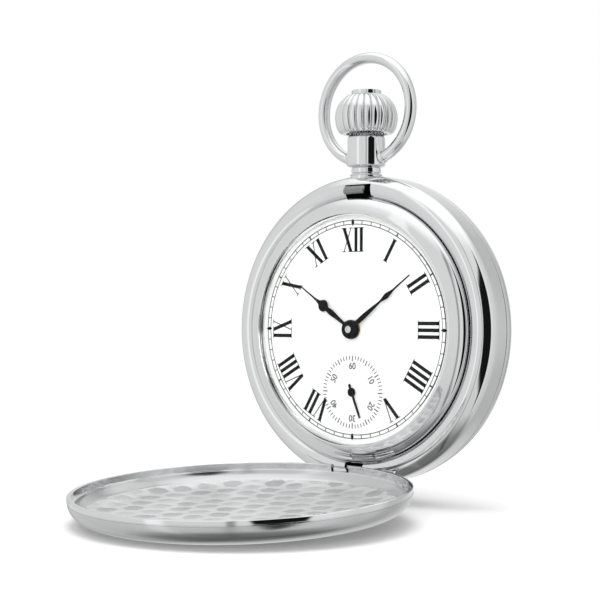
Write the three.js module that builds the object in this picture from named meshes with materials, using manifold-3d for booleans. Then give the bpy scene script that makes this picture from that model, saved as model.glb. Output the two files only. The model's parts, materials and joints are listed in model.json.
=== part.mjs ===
// Hunter-cased pocket watch with a hand-wound movement. Units are millimetres.
// Inside the watch group the dial's face is the plane y = 0 and the dial's centre is the origin:
// +Z points to 12 o'clock and the crown, +X to 3 o'clock, and the dial faces -Y. Depths are y values,
// growing from the crystal to the back cover. The whole group is then set on the ground, lid open.
import * as THREE from 'three';
import { mergeVertices } from 'three/addons/utils/BufferGeometryUtils.js';
import Module from 'manifold-3d';

const wasm = await Module();
wasm.setup();

// ---------------------------------------------------------------- driving dimensions
const WELD = 1e-4;
const FACETS = 36; // round the case
const SMALL_FACETS = 20; // round pendant and arbors
const FINE_FACETS = 12; // round pivots and holes

const CASE_R = 24.9;
const LEDGE_R = 24.0; // the step that the closed lid's rim drops over
const LEDGE_FRONT = 0.2;
const BAND_FRONT = 1.0;
const BAND_BACK = 5.6;
const SPIGOT_R = 22.9; // the back cover snaps over it
const SPIGOT_BACK = 7.0;
const BORE_R = 20.2;
const BEZEL_R = 21.2;
const BEZEL_SEAT = 1.85;
const BACK_TOP = 11.0;
const BACK_FLAT_R = 9.0;

const LID_RIM_R = 24.85;
const LID_RIM_INNER_R = 24.2;
const LID_RIM_EDGE = 0.9;
const LID_TOP = -3.6;
const LID_OPEN_DEG = 92.7;
const HINGE = { y: -2.5, z: -24.9, r: 0.95, hole: 0.5, pin: 0.4 };
const HINGE_CLEARANCE_R = 3.85;
const LID_KNUCKLE_HALF = 2.5;
const CASE_KNUCKLE = { from: 2.8, to: 7.2 };

const STEM_Y = 3.6; // depth of the crown, stem and pendant axis
const PENDANT_R = 3.1;
const PENDANT_TOP = 31.6;
const PENDANT_BORE_R = 1.35;
const BOW = { centreZ: 35.6, ringR: 8.6, pivotZ: 28.0, endX: 3.95, halfRadial: 0.9, halfWide: 1.1 };
const BOW_PIN = { r: 0.5, hole: 0.62, from: 2.1, to: 4.2 };
const CROWN = { r: 5.15, bottom: 31.8, top: 38.2, ribs: 24, ribDepth: 0.42, recessR: 3.35 };
const CROWN_CAP = { r: 2.45, from: 38.25, to: 38.85 };
const STEM = { r: 0.5, from: 13.75, to: 36.2 };

const DIAL_R = 18.9;
const DIAL_THICK = 0.4;
const SECONDS_AXIS = [0, -10.07];
const HOUR_ANGLE = 302.3; // degrees clockwise from 12, at rest
const MINUTE_ANGLE = 52.9;
const SECONDS_ANGLE = 158.4;

const PLATE = { r: 18.3, front: 1.4, back: 2.4, rimR: 17.3, rimFront: 0.5 };
const BRIDGE = { r: 17.9, front: 4.6, back: 5.4 };
const KEYLESS_BACK = 5.9; // back of the ratchet and crown wheels
const KEYLESS_FRONT = 5.5;

// Arbor places as [x, z]
const CENTRE = [0, 0];
const THIRD = [5.6, -5.2];
const FOURTH = SECONDS_AXIS;
const ESCAPE = [-5.3, -11.5];
const PALLET = [-7.9, -9.6];
const BALANCE = [-10.2, -5.6];
const BARREL = [5.4, 7.2];
const CROWN_WHEEL = [-0.2, 11.7];
const MINUTE_ARBOR = [-2.2, 2.2];
const CLICK = [10.9, 9.5];

// ---------------------------------------------------------------- finishes
const finish = (color, roughness, metalness) =>
  new THREE.MeshStandardMaterial({ color, roughness, metalness });
const chrome = () => finish(0xd6d8da, 0.08, 1);
const steel = () => finish(0xb4b7ba, 0.3, 1);
const nickel = () => finish(0xc9c6bd, 0.35, 1);
const brass = () => finish(0xc9a75a, 0.32, 1);
const blued = () => finish(0x24324f, 0.3, 1);
const black = () => finish(0x0a0a0b, 0.35, 0.3);
const white = () => finish(0xf4f4f2, 0.45, 0);
const clear = () => {
  const glass = finish(0xffffff, 0.02, 0);
  glass.transparent = true;
  glass.opacity = 0.25;
  return glass;
};

// ---------------------------------------------------------------- solid helpers
function volumeOf(geometry) {
  const at = geometry.getAttribute('position');
  const index = geometry.getIndex();
  const [a, b, c] = [new THREE.Vector3(), new THREE.Vector3(), new THREE.Vector3()];
  let six = 0;
  for (let i = 0; i < index.count; i += 3) {
    a.fromBufferAttribute(at, index.getX(i));
    b.fromBufferAttribute(at, index.getX(i + 1));
    c.fromBufferAttribute(at, index.getX(i + 2));
    six += a.dot(b.cross(c));
  }
  return six / 6;
}

// Welds a geometry into a closed indexed mesh with its faces pointing out.
function weld(geometry) {
  geometry.deleteAttribute('normal');
  geometry.deleteAttribute('uv');
  const merged = mergeVertices(geometry, WELD);
  const index = merged.getIndex();
  const kept = [];
  for (let i = 0; i < index.count; i += 3) {
    const corner = [index.getX(i), index.getX(i + 1), index.getX(i + 2)];
    if (new Set(corner).size === 3) kept.push(...corner);
  }
  merged.setIndex(kept);
  if (volumeOf(merged) < 0) merged.setIndex(kept.map((_, i) => kept[i - (i % 3) + (2 - (i % 3))]));
  return merged;
}

function toManifold(geometry) {
  const vertProperties = Float32Array.from(geometry.getAttribute('position').array);
  const triVerts = Uint32Array.from(geometry.getIndex().array);
  return new wasm.Manifold(new wasm.Mesh({ numProp: 3, vertProperties, triVerts }));
}

function fromManifold(body) {
  const mesh = body.getMesh();
  const geometry = new THREE.BufferGeometry();
  geometry.setAttribute('position', new THREE.BufferAttribute(mesh.vertProperties, 3));
  geometry.setIndex(new THREE.BufferAttribute(mesh.triVerts, 1));
  return geometry;
}

const join = (first, ...rest) =>
  fromManifold(rest.reduce((sum, g) => sum.add(toManifold(g)), toManifold(first)));
const cut = (from, ...tools) =>
  fromManifold(tools.reduce((left, g) => left.subtract(toManifold(g)), toManifold(from)));

// A body turned about the Y axis from [radius, y] points. The profile ends on the axis, or closes.
function turned(profile, [x, z] = [0, 0], facets = FACETS) {
  const points = profile.map(([r, y]) => new THREE.Vector2(r, y));
  if (points[0].x > 0) points.push(points[0].clone());
  return weld(new THREE.LatheGeometry(points, facets)).translate(x, 0, z);
}

// The same about the vertical stem axis, from [radius, z] points.
function turnedUp(profile, facets = SMALL_FACETS) {
  return turned(profile, [0, 0], facets).rotateX(Math.PI / 2).translate(0, STEM_Y, 0);
}

// A pin along Y, Z or X, given where it starts and ends.
function pin(r, from, to, place = [0, 0], facets = FINE_FACETS) {
  return turned([[0, from], [r, from], [r, to], [0, to]], place, facets);
}

function pinUp(r, from, to, facets = FINE_FACETS) {
  return turnedUp([[0, from], [r, from], [r, to], [0, to]], facets);
}

function pinAcross(r, from, to, y, z, facets = FINE_FACETS) {
  return pin(r, from, to, [0, 0], facets).rotateZ(-Math.PI / 2).translate(0, y, z);
}

function box(x0, x1, y0, y1, z0, z1) {
  const block = new THREE.BoxGeometry(x1 - x0, y1 - y0, z1 - z0);
  return weld(block.translate((x0 + x1) / 2, (y0 + y1) / 2, (z0 + z1) / 2));
}

const shapeOf = points => new THREE.Shape(points.map(([x, z]) => new THREE.Vector2(x, z)));

// A flat piece: an outline in x and z, from depth front to depth back.
function flat(shape, front, back, place = [0, 0], curveSegments = FACETS / 2) {
  const depth = back - front;
  const plate = new THREE.ExtrudeGeometry(shape, { depth, bevelEnabled: false, curveSegments });
  return weld(plate.rotateX(Math.PI / 2).translate(place[0], back, place[1]));
}

// An outline in y and z, carried across from x0 to x1.
function across(points, x0, x1) {
  const shape = new THREE.Shape(points.map(([y, z]) => new THREE.Vector2(y, z)));
  const bar = new THREE.ExtrudeGeometry(shape, { depth: x1 - x0, bevelEnabled: false });
  const turn = new THREE.Matrix4().makeBasis(
    new THREE.Vector3(0, 1, 0), new THREE.Vector3(0, 0, 1), new THREE.Vector3(1, 0, 0));
  return weld(bar.applyMatrix4(turn).translate(x0, 0, 0));
}

// Points round a wheel whose teeth are pointed, two to a tooth.
function toothed(teeth, outer, root) {
  return Array.from({ length: teeth * 2 }, (_, i) => {
    const angle = (Math.PI * i) / teeth;
    const r = i % 2 ? root : outer;
    return [r * Math.cos(angle), r * Math.sin(angle)];
  });
}

// A wheel, its pinion and its arbor in one piece.
function wheelAndPinion(place, wheel, pinion, arbor) {
  const parts = [pin(arbor.r, arbor.front, arbor.back, place)];
  for (const gear of [wheel, pinion]) {
    const teeth = shapeOf(toothed(gear.teeth, gear.r, gear.r - gear.tooth));
    parts.push(flat(teeth, gear.front, gear.back, place));
  }
  return join(...parts);
}

// A flat coiled strip: an arm out along the spiral and back again half a strip away.
function coil(place, { inner, outer, turns, strip, front, back, steps }) {
  const along = Array.from({ length: turns * steps + 1 }, (_, i) => i / (turns * steps));
  const point = (t, shift) => {
    const angle = 2 * Math.PI * turns * t;
    const r = inner + (outer - inner) * t + shift;
    return [r * Math.cos(angle), r * Math.sin(angle)];
  };
  const out = along.map(t => point(t, strip / 2));
  const home = along.map(t => point(t, -strip / 2)).reverse();
  return flat(shapeOf([...out, ...home]), front, back, place);
}

// Turns a piece about the dial's or a sub-dial's axis, clockwise as seen on the dial.
function clockwise(geometry, degrees, [x, z] = CENTRE) {
  return geometry.rotateY(THREE.MathUtils.degToRad(degrees)).translate(x, 0, z);
}

const watch = new THREE.Group();
const lidGroup = new THREE.Group();

function add(name, geometry, material, group = watch) {
  const mesh = new THREE.Mesh(geometry, material);
  mesh.name = name;
  group.add(mesh);
}

// ---------------------------------------------------------------- case
function caseMiddle() {
  const band = turned([
    [BORE_R, 1.95], [BEZEL_R + 0.1, 1.95], [BEZEL_R + 0.1, 1.35], [21.8, 0.7], [22.5, 0.3],
    [23.2, LEDGE_FRONT], [23.75, 0.4], [LEDGE_R, 0.75], [LEDGE_R, BAND_FRONT], [24.7, BAND_FRONT],
    [CASE_R, 1.2], [CASE_R, BAND_BACK], [SPIGOT_R, BAND_BACK],
    [SPIGOT_R, SPIGOT_BACK], [BORE_R, SPIGOT_BACK],
  ]);
  const { from, to } = CASE_KNUCKLE;
  const lug = [
    [HINGE.y, -25.85], [3.9, -25.85], [4.8, -25.0], [4.8, -23.3],
    [1.45, -23.3], [1.45, -25.1], [HINGE.y, -25.1],
  ];
  const swing = pinAcross(HINGE_CLEARANCE_R, -9, 9, HINGE.y, HINGE.z, SMALL_FACETS * 2);
  const sides = [[-to, -from], [from, to]];
  const lugs = sides.map(([x0, x1]) => across(lug, x0, x1));
  const knuckles = sides.map(([x0, x1]) => pinAcross(HINGE.r, x0, x1, HINGE.y, HINGE.z, SMALL_FACETS));
  const hollow = cut(
    band,
    swing,
    pinUp(1.85, 19, 26, SMALL_FACETS),
    box(-1.75, 1.75, -1, 5.75, -22.75, -21.75),
    box(-2.55, 2.55, -1, 1.75, 21.55, 23.55),
  );
  return cut(join(hollow, ...lugs, ...knuckles), pinAcross(HINGE.hole, -8, 8, HINGE.y, HINGE.z));
}

function backCover() {
  return turned([
    [0, BACK_TOP], [BACK_FLAT_R, BACK_TOP], [14, 10.85], [18.5, 10.4],
    [21.6, 9.8], [23.4, 9.0], [24.35, 8.1],
    [24.8, 7.1], [CASE_R, 6.4], [CASE_R, 5.75], [23.1, 5.75], [23.1, 7.6], [22.3, 8.7], [20.9, 9.3],
    [18, 9.8], [BACK_FLAT_R, 10.3], [0, 10.3],
  ]);
}

function bezel() {
  return turned([
    [19.95, BEZEL_SEAT], [BEZEL_R, BEZEL_SEAT], [BEZEL_R, 1.2], [20.95, 0.4], [20.35, -0.55], [19.6, -1.2],
    [18.95, -1.45], [18.6, -1.4], [18.6, -1.12], [19.05, -1.12], [19.05, -0.47], [19.95, -0.47],
  ]);
}

function crystal() {
  return turned([
    [0, -2.0], [12, -1.9], [17, -1.65], [18.2, -1.35], [18.45, -1.06], [18.95, -1.06],
    [18.95, -0.52], [18.3, -0.52], [17.7, -1.05], [16.4, -1.2], [12, -1.38], [0, -1.45],
  ]);
}

function dialRing() {
  return turned([[18.35, -0.42], [19.85, -0.42], [19.85, -0.06], [18.35, -0.06]]);
}

function lid() {
  const shell = turned([
    [0, LID_TOP], [9, LID_TOP], [15, -3.45], [20.5, -3.05], [22.9, -2.5], [24.2, -1.6], [24.75, -0.6],
    [LID_RIM_R, 0.1], [24.75, 0.2], [LID_RIM_R, 0.3],
    [LID_RIM_R, LID_RIM_EDGE], [LID_RIM_INNER_R, LID_RIM_EDGE], [LID_RIM_INNER_R, -0.1],
    [23.75, -0.15], [23.6, -0.7], [22.9, -1.7], [20.5, -2.3], [12, -2.65], [0, -2.75],
  ]);
  const web = across([[-3.3, -24.9], [-2.85, -23.2], [-1.75, -23.2], [-1.35, -23.7], [-1.6, -24.9]],
    -LID_KNUCKLE_HALF, LID_KNUCKLE_HALF);
  const knuckle = pinAcross(HINGE.r, -LID_KNUCKLE_HALF, LID_KNUCKLE_HALF, HINGE.y, HINGE.z, SMALL_FACETS);
  return cut(join(shell, web, knuckle), pinAcross(HINGE.hole, -3, 3, HINGE.y, HINGE.z));
}

function liftSpring() {
  const side = [[0.45, -21.95], [0.45, -22.4], [0.7, -22.62], [2.6, -22.62], [2.6, -21.95]];
  return across(side, -1.5, 1.5);
}

function catchSpring() {
  const section = [[-0.75, 22.3], [-0.75, 22.9], [-0.2, 23.3], [1.5, 23.3], [1.5, 22.0], [-0.2, 22.0]];
  return across(section, -2.3, 2.3);
}

add('case_middle', caseMiddle(), chrome());
add('back_cover', backCover(), chrome());
add('bezel', bezel(), chrome());
add('crystal', crystal(), clear());
add('dial_ring', dialRing(), chrome());
add('hinge_pin', pinAcross(HINGE.pin, -7.1, 7.1, HINGE.y, HINGE.z), steel());
add('lift_spring', liftSpring(), blued());
add('catch_spring', catchSpring(), steel());
add('front_lid', lid(), chrome(), lidGroup);

// ---------------------------------------------------------------- pendant, bow and crown
function pendant() {
  const tube = turnedUp([
    [PENDANT_BORE_R, 21.0], [1.7, 21.0], [1.7, 25.1], [3.0, 25.1], [3.0, 25.35], [2.15, 25.6], [2.15, 26.0],
    [2.42, 26.15], [2.42, 26.8], [2.2, 27.0], [PENDANT_R, 27.15], [PENDANT_R, 31.2], [2.8, PENDANT_TOP],
    [PENDANT_BORE_R, PENDANT_TOP],
  ], 24);
  return cut(tube, pinAcross(BOW_PIN.hole, -4, 4, STEM_Y, BOW.pivotZ));
}

function bow() {
  const start = Math.asin(BOW.endX / BOW.ringR);
  const steps = 24;
  const path = new THREE.CatmullRomCurve3(Array.from({ length: steps + 1 }, (_, i) => {
    const angle = start + ((2 * Math.PI - 2 * start) * i) / steps;
    return new THREE.Vector3(BOW.ringR * Math.sin(angle), STEM_Y, BOW.centreZ - BOW.ringR * Math.cos(angle));
  }));
  const section = new THREE.Shape();
  section.absellipse(0, 0, BOW.halfWide, BOW.halfRadial, 0, 2 * Math.PI, false, 0);
  const wire = weld(new THREE.ExtrudeGeometry(section, { steps, curveSegments: 4, extrudePath: path }));
  const { r, from, to } = BOW_PIN;
  const pivots = [[-to, -from], [from, to]];
  return join(wire, ...pivots.map(([x0, x1]) => pinAcross(r, x0, x1, STEM_Y, BOW.pivotZ)));
}

// Onion crown: its rim swells and shrinks once for each rib.
function crown() {
  const { r, bottom, top, ribs, ribDepth, recessR } = CROWN;
  const body = turned([
    [0, top], [2.9, top], [3.9, 37.6], [4.8, 36.6], [r, 35.3], [r, 34.2], [4.85, 33.1], [4.2, 32.2],
    [3.75, bottom], [recessR, bottom], [recessR, 32.8], [0, 32.8],
  ], [0, 0], ribs * 2);
  const at = body.getAttribute('position');
  for (let i = 0; i < at.count; i += 1) {
    const radius = Math.hypot(at.getX(i), at.getZ(i));
    const inGroove = Math.cos(ribs * Math.atan2(at.getZ(i), at.getX(i))) < 0;
    const scale = radius > recessR + 0.5 && inGroove ? 1 - ribDepth / radius : 1;
    at.setX(i, at.getX(i) * scale);
    at.setZ(i, at.getZ(i) * scale);
  }
  const ribbed = weld(body.rotateX(Math.PI / 2).translate(0, STEM_Y, 0));
  return cut(ribbed, pinUp(STEM.r + 0.06, 32, STEM.to + 0.1));
}

const tubeUp = (inner, outer, from, to) =>
  turnedUp([[inner, from], [outer, from], [outer, to], [inner, to]]);

add('pendant', pendant(), chrome());
add('bow', bow(), chrome());
add('crown', crown(), chrome());
add('crown_cap', pinUp(CROWN_CAP.r, CROWN_CAP.from, CROWN_CAP.to, SMALL_FACETS), chrome());
add('winding_stem', pinUp(STEM.r, STEM.from, STEM.to), steel());
add('release_sleeve', tubeUp(0.6, 1.25, 24.0, 27.0), steel());
add('stem_collar', tubeUp(0.6, 1.2, 29.2, 31.4), steel());

// ---------------------------------------------------------------- dial and hands
function dial() {
  const plate = turned([[1.5, 0], [DIAL_R, 0], [DIAL_R, DIAL_THICK], [1.5, DIAL_THICK]]);
  const feet = [[-12.4, 10.6], [11.2, -12.2]].map(place => pin(0.35, 0.2, 1.9, place));
  return cut(join(plate, ...feet), pin(0.5, -1, 1, SECONDS_AXIS));
}

// A hand that points to 12: a hub, a tapering leaf, a boss and a needle, with its depths front to back.
function hand(points, hubR, holeR, front, back) {
  const mirrored = points.slice().reverse().map(([x, z]) => [-x, z]);
  const blade = flat(shapeOf([...points, ...mirrored]), front, back);
  const hub = pin(hubR, front - 0.06, back + 0.04, [0, 0], SMALL_FACETS);
  return cut(join(blade, hub), pin(holeR, front - 1, back + 1, [0, 0], SMALL_FACETS));
}

const HOUR_OUTLINE = [
  [0.5, 0], [0.34, 2.5], [0.52, 5.6], [0.85, 6.6], [0.72, 7.4], [0.2, 8.3], [0.06, 11.6],
];
const MINUTE_OUTLINE = [
  [0.42, 0], [0.26, 3.2], [0.7, 8.4], [0.48, 10.2], [0.62, 11.4], [0.14, 12.6], [0.05, 14.6],
];
const SECONDS_OUTLINE = [[0.22, -1.1], [0.18, -0.9], [0.16, 0], [0.1, 2.2], [0.04, 4.34]];

add('dial', dial(), white());
add('hour_hand', clockwise(hand(HOUR_OUTLINE, 1.5, 1.22, -0.6, -0.48), HOUR_ANGLE), black());
add('minute_hand', clockwise(hand(MINUTE_OUTLINE, 1.15, 0.62, -0.96, -0.84), MINUTE_ANGLE), black());
const secondsHand = hand(SECONDS_OUTLINE, 0.62, 0.27, -0.3, -0.2);
add('seconds_hand', clockwise(secondsHand, SECONDS_ANGLE, SECONDS_AXIS), black());

// ---------------------------------------------------------------- motion works, under the dial
function cannonPinion() {
  const pipe = turned([[0.35, -1.3], [0.56, -1.3], [0.56, 1.2], [0.35, 1.2]], CENTRE, SMALL_FACETS);
  const leaves = flat(shapeOf(toothed(8, 0.76, 0.58)), 0.95, 1.2);
  return cut(join(pipe, leaves), pin(0.35, -2, 2, CENTRE, SMALL_FACETS));
}

function hourWheel() {
  const pipe = turned([[0.85, -0.72], [1.15, -0.72], [1.15, 0.75], [0.85, 0.75]], CENTRE, SMALL_FACETS);
  const wheel = flat(shapeOf(toothed(32, 2.42, 2.22)), 0.5, 0.75);
  return cut(join(pipe, wheel), pin(0.85, -1, 2, CENTRE, SMALL_FACETS));
}

add('cannon_pinion', cannonPinion(), steel());
add('hour_wheel', hourWheel(), brass());
add('minute_wheel', wheelAndPinion(
  MINUTE_ARBOR,
  { teeth: 24, r: 2.25, tooth: 0.2, front: 0.95, back: 1.2 },
  { teeth: 8, r: 0.6, tooth: 0.15, front: 0.5, back: 0.97 },
  { r: 0.25, front: 0.5, back: 2.2 },
), brass());

// ---------------------------------------------------------------- movement: plates and bridges
const ARBOR_HOLES = [
  [CENTRE, 0.5], [THIRD, 0.35], [FOURTH, 0.35], [ESCAPE, 0.3], [PALLET, 0.25], [BALANCE, 0.3],
  [BARREL, 0.9], [MINUTE_ARBOR, 0.32], [[-12.4, 10.6], 0.45], [[11.2, -12.2], 0.45],
];

function mainPlate() {
  const { r, front, back, rimR, rimFront } = PLATE;
  const disc = turned([[0, front], [rimR, front], [rimR, rimFront], [r, rimFront], [r, back], [0, back]]);
  const holes = ARBOR_HOLES.map(([place, hole]) => pin(hole, 0, 4, place));
  return cut(disc, ...holes, box(-2.1, 2.1, 1.75, 3, 12.9, 19));
}

function movementRing() {
  const ring = turned([[18.5, 0.5], [19.8, 0.5], [19.8, 4.6], [18.5, 4.6]]);
  return cut(ring, box(-2.1, 2.1, 1.75, 5, 17, 21));
}

const FOOT_R = 1.0;
const foot = place => pin(FOOT_R, PLATE.back + 0.05, BRIDGE.front + 0.2, place);

function bridge(shape, feet, holes, ...tools) {
  const plate = flat(shape, BRIDGE.front, BRIDGE.back);
  const bored = holes.map(([place, r]) => pin(r, 2, 7, place));
  return cut(join(plate, ...feet.map(foot)), ...bored, ...tools);
}

const SCREWS = {
  barrel_bridge_screw_left: [-13.4, 7.4],
  barrel_bridge_screw_right: [15.3, 4.6],
  train_bridge_screw_right: [13.6, -7.4],
  train_bridge_screw_left: [-4.6, -15.6],
  balance_cock_screw: [-15.9, -1.5],
};
const screwHole = name => [SCREWS[name], 0.5];

function barrelBridge() {
  const reach = Math.asin(2.4 / BRIDGE.r);
  const shape = new THREE.Shape();
  shape.absarc(0, 0, BRIDGE.r, reach, Math.PI - reach, false);
  return bridge(shape, [[-13.4, 7.4], [15.3, 4.6], [-8.6, 14.6]],
    [[BARREL, 0.9], screwHole('barrel_bridge_screw_left'), screwHole('barrel_bridge_screw_right'),
      [CROWN_WHEEL, 0.5]],
    box(-2.1, 2.1, 4, 6, 12.9, 19));
}

function trainBridge() {
  const shape = new THREE.Shape();
  shape.absarc(0, 0, BRIDGE.r, THREE.MathUtils.degToRad(-118), THREE.MathUtils.degToRad(5.8), false);
  for (const [x, z] of [[-2.6, 1.8], [-4.2, -2], [-3.6, -7.5], [-6.6, -10.6]]) shape.lineTo(x, z);
  return bridge(shape, [[13.6, -7.4], [-4.6, -15.6]],
    [[CENTRE, 0.35], [THIRD, 0.35], [FOURTH, 0.35], [ESCAPE, 0.3], screwHole('train_bridge_screw_right'),
      screwHole('train_bridge_screw_left')]);
}

function balanceCock() {
  const shape = shapeOf([
    [-17.6, -0.4], [-17.3, -3.8], [-14.2, -6.4], [-12, -8], [-9.2, -8.2], [-7.7, -6.6], [-7.7, -4.6],
    [-9.4, -3], [-12.4, -1.4], [-14.4, 1.2], [-16.6, 1.6],
  ]);
  return bridge(shape, [[-15.9, -1.5]], [[BALANCE, 0.3], screwHole('balance_cock_screw')]);
}

function palletBridge() {
  const bar = shapeOf([[-7.2, -9], [-7.2, -10.3], [-11, -13.4], [-12.6, -13], [-12.4, -11.4], [-8.5, -8.8]]);
  const post = pin(0.8, PLATE.back + 0.05, 3.1, [-11.7, -12.5]);
  return cut(join(flat(bar, 3.0, 3.25), post), pin(0.25, 2, 4, PALLET));
}

function screw(place, headFront, headR = 0.85) {
  const head = pin(headR, headFront, headFront + 0.3, place, FINE_FACETS);
  const body = join(head, pin(0.4, headFront - 0.7, headFront + 0.1, place));
  const [x, z] = place;
  return cut(body, box(x - 1, x + 1, headFront + 0.17, headFront + 1, z - 0.09, z + 0.09));
}

add('main_plate', mainPlate(), nickel());
add('movement_ring', movementRing(), nickel());
add('barrel_bridge', barrelBridge(), nickel());
add('train_bridge', trainBridge(), nickel());
add('balance_cock', balanceCock(), nickel());
add('pallet_bridge', palletBridge(), nickel());
for (const [name, place] of Object.entries(SCREWS)) add(name, screw(place, BRIDGE.back + 0.05), blued());
add('ratchet_screw', screw(BARREL, KEYLESS_BACK + 0.05, 1.1), blued());
add('crown_wheel_screw', screw(CROWN_WHEEL, KEYLESS_BACK + 0.05, 1.1), blued());

// ---------------------------------------------------------------- going train
function barrel() {
  const section = [[0.9, 2.9], [7.3, 2.9], [7.3, 4.1], [6.95, 4.1], [6.95, 3.15], [0.9, 3.15]];
  const drum = turned(section, BARREL, 40);
  const teeth = flat(shapeOf(toothed(64, 7.95, 7.6)), 2.9, 3.2, BARREL);
  const hollow = turned([[0, 3.15], [6.95, 3.15], [6.95, 4.5], [0, 4.5]], BARREL, 40);
  return cut(join(drum, teeth), hollow, pin(0.9, 2, 4, BARREL));
}

function barrelArbor() {
  const arbor = join(pin(0.8, 1.7, 5.75, BARREL, SMALL_FACETS), pin(1.6, 3.25, 4.0, BARREL, SMALL_FACETS));
  return cut(arbor, pin(0.45, 5.0, 6.0, BARREL));
}

function balanceWheel() {
  const rim = turned([[4.3, 3.45], [4.9, 3.45], [4.9, 3.85], [4.3, 3.85]], BALANCE, 40);
  const [x, z] = BALANCE;
  const arm = box(x - 4.5, x + 4.5, 3.55, 3.75, z - 0.3, z + 0.3);
  const staff = pin(0.22, 2.5, 5.3, BALANCE);
  const roller = pin(1.0, 3.3, 3.42, BALANCE, SMALL_FACETS);
  return join(rim, arm, staff, roller);
}

function palletFork() {
  const [x, z] = PALLET;
  const lever = shapeOf([
    [-0.3, -0.25], [-0.05, -1.7], [0.3, -1.6], [0.28, -0.35], [0.45, 0], [1.6, 0.2], [1.6, 0.5],
    [0.3, 0.42], [-0.15, 0.45], [-1.1, 1.75], [-1.5, 1.55], [-0.55, 0.1],
  ]);
  return join(flat(lever, 2.7, 2.88, [x, z]), pin(0.2, 2.45, 2.95, PALLET));
}

function regulator() {
  const tail = shapeOf([[-0.5, 1.4], [0.5, 1.4], [0.14, 4.2], [-0.14, 4.2]]);
  const collar = turned([[0.6, 5.45], [1.6, 5.45], [1.6, 5.65], [0.6, 5.65]], BALANCE, SMALL_FACETS);
  return join(collar, flat(tail, 5.45, 5.65, BALANCE));
}

add('barrel', barrel(), brass());
add('barrel_arbor', barrelArbor(), steel());
add('mainspring', coil(BARREL, {
  inner: 2.1, outer: 6.55, turns: 6, strip: 0.34, front: 3.3, back: 3.95, steps: 12,
}), steel());
add('centre_wheel', wheelAndPinion(
  CENTRE,
  { teeth: 48, r: 6.7, tooth: 0.3, front: 4.2, back: 4.38 },
  { teeth: 8, r: 0.98, tooth: 0.25, front: 2.6, back: 3.4 },
  { r: 0.27, front: -0.9, back: 5.3 },
), brass());
add('third_wheel', wheelAndPinion(
  THIRD,
  { teeth: 45, r: 6.4, tooth: 0.28, front: 2.5, back: 2.66 },
  { teeth: 6, r: 0.82, tooth: 0.25, front: 3.6, back: 4.4 },
  { r: 0.28, front: 1.6, back: 5.3 },
), brass());
add('fourth_wheel', wheelAndPinion(
  FOURTH,
  { teeth: 60, r: 4.88, tooth: 0.22, front: 3.3, back: 3.46 },
  { teeth: 6, r: 0.8, tooth: 0.22, front: 2.48, back: 3.0 },
  { r: 0.22, front: -0.34, back: 5.3 },
), brass());
add('escape_wheel', wheelAndPinion(
  ESCAPE,
  { teeth: 15, r: 2.15, tooth: 0.55, front: 2.7, back: 2.84 },
  { teeth: 6, r: 0.55, tooth: 0.18, front: 3.2, back: 3.7 },
  { r: 0.2, front: 1.8, back: 5.3 },
), steel());
add('pallet_fork', palletFork(), steel());
add('balance_wheel', balanceWheel(), brass());
add('hairspring', coil(BALANCE, {
  inner: 0.55, outer: 2.5, turns: 6, strip: 0.1, front: 4.05, back: 4.2, steps: 12,
}), blued());
add('regulator', regulator(), steel());

// ---------------------------------------------------------------- winding and setting works
function flatWheel(teeth, r, tooth, holeR, place) {
  const wheel = flat(shapeOf(toothed(teeth, r, r - tooth)), KEYLESS_FRONT, KEYLESS_BACK, place);
  return cut(wheel, pin(holeR, 5, 7, place));
}

function click() {
  const lever = shapeOf([
    [-0.8, -0.5], [-0.2, -0.85], [0.6, -0.6], [0.85, 0.3], [0.2, 0.8], [-0.6, 0.5], [-1.25, 0.0],
  ]);
  return flat(lever, KEYLESS_FRONT, KEYLESS_BACK, CLICK);
}

function clickSpring() {
  const wire = shapeOf([[1.1, 1.4], [1.35, 1.2], [0.9, 4.6], [-0.6, 5.4], [-0.6, 5.15], [0.7, 4.4]]);
  return flat(wire, KEYLESS_FRONT, KEYLESS_BACK - 0.15, [CLICK[0] - 0.6, CLICK[1] - 0.2]);
}

function settingLever() {
  const plate = shapeOf([
    [-4.6, 13.4], [-3.3, 13.2], [-1.15, 14.4], [-1.15, 15.0], [-3.6, 15.3], [-4.8, 14.8],
  ]);
  return join(flat(plate, 2.5, 2.8), pin(0.4, 2.5, 4.3, [-4.0, 14.2]));
}

function yoke() {
  const plate = shapeOf([[2.3, 13.2], [3.0, 13.2], [5.2, 15.6], [4.8, 16.2], [2.3, 14.2]]);
  return flat(plate, 4.25, 4.45);
}

add('ratchet_wheel', flatWheel(36, 4.2, 0.3, 0.85, BARREL), steel());
add('crown_wheel', flatWheel(24, 2.8, 0.3, 0.55, CROWN_WHEEL), steel());
add('click', click(), steel());
add('click_spring', clickSpring(), steel());
add('winding_pinion', tubeUp(0.6, 1.7, 15.5, 17.2), steel());
add('sliding_pinion', tubeUp(0.6, 1.3, 14.15, 15.3), steel());
add('setting_lever', settingLever(), steel());
add('yoke', yoke(), steel());

// ---------------------------------------------------------------- the open lid, and the ground
lidGroup.children[0].geometry.translate(0, -HINGE.y, -HINGE.z);
lidGroup.position.set(0, HINGE.y, HINGE.z);
lidGroup.rotation.x = THREE.MathUtils.degToRad(LID_OPEN_DEG);
watch.add(lidGroup);

const pocketWatch = new THREE.Group();
pocketWatch.add(watch);
pocketWatch.updateMatrixWorld(true);
const reach = new THREE.Box3().setFromObject(pocketWatch, true);
watch.position.set(0, -(reach.min.y + reach.max.y) / 2, -reach.min.z);

export default pocketWatch;
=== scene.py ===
# Hunter-cased pocket watch, lid open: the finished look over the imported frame. Blender 4.5.
# Shapes are written in watch millimetres: origin at the centre of the dial's face, +X to 3 o'clock,
# +Z to 12 o'clock, and y growing from the crystal to the back. at() sets them in the shared frame.
import json
import math

import bmesh
import bpy
from mathutils import Matrix, Vector


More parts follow.
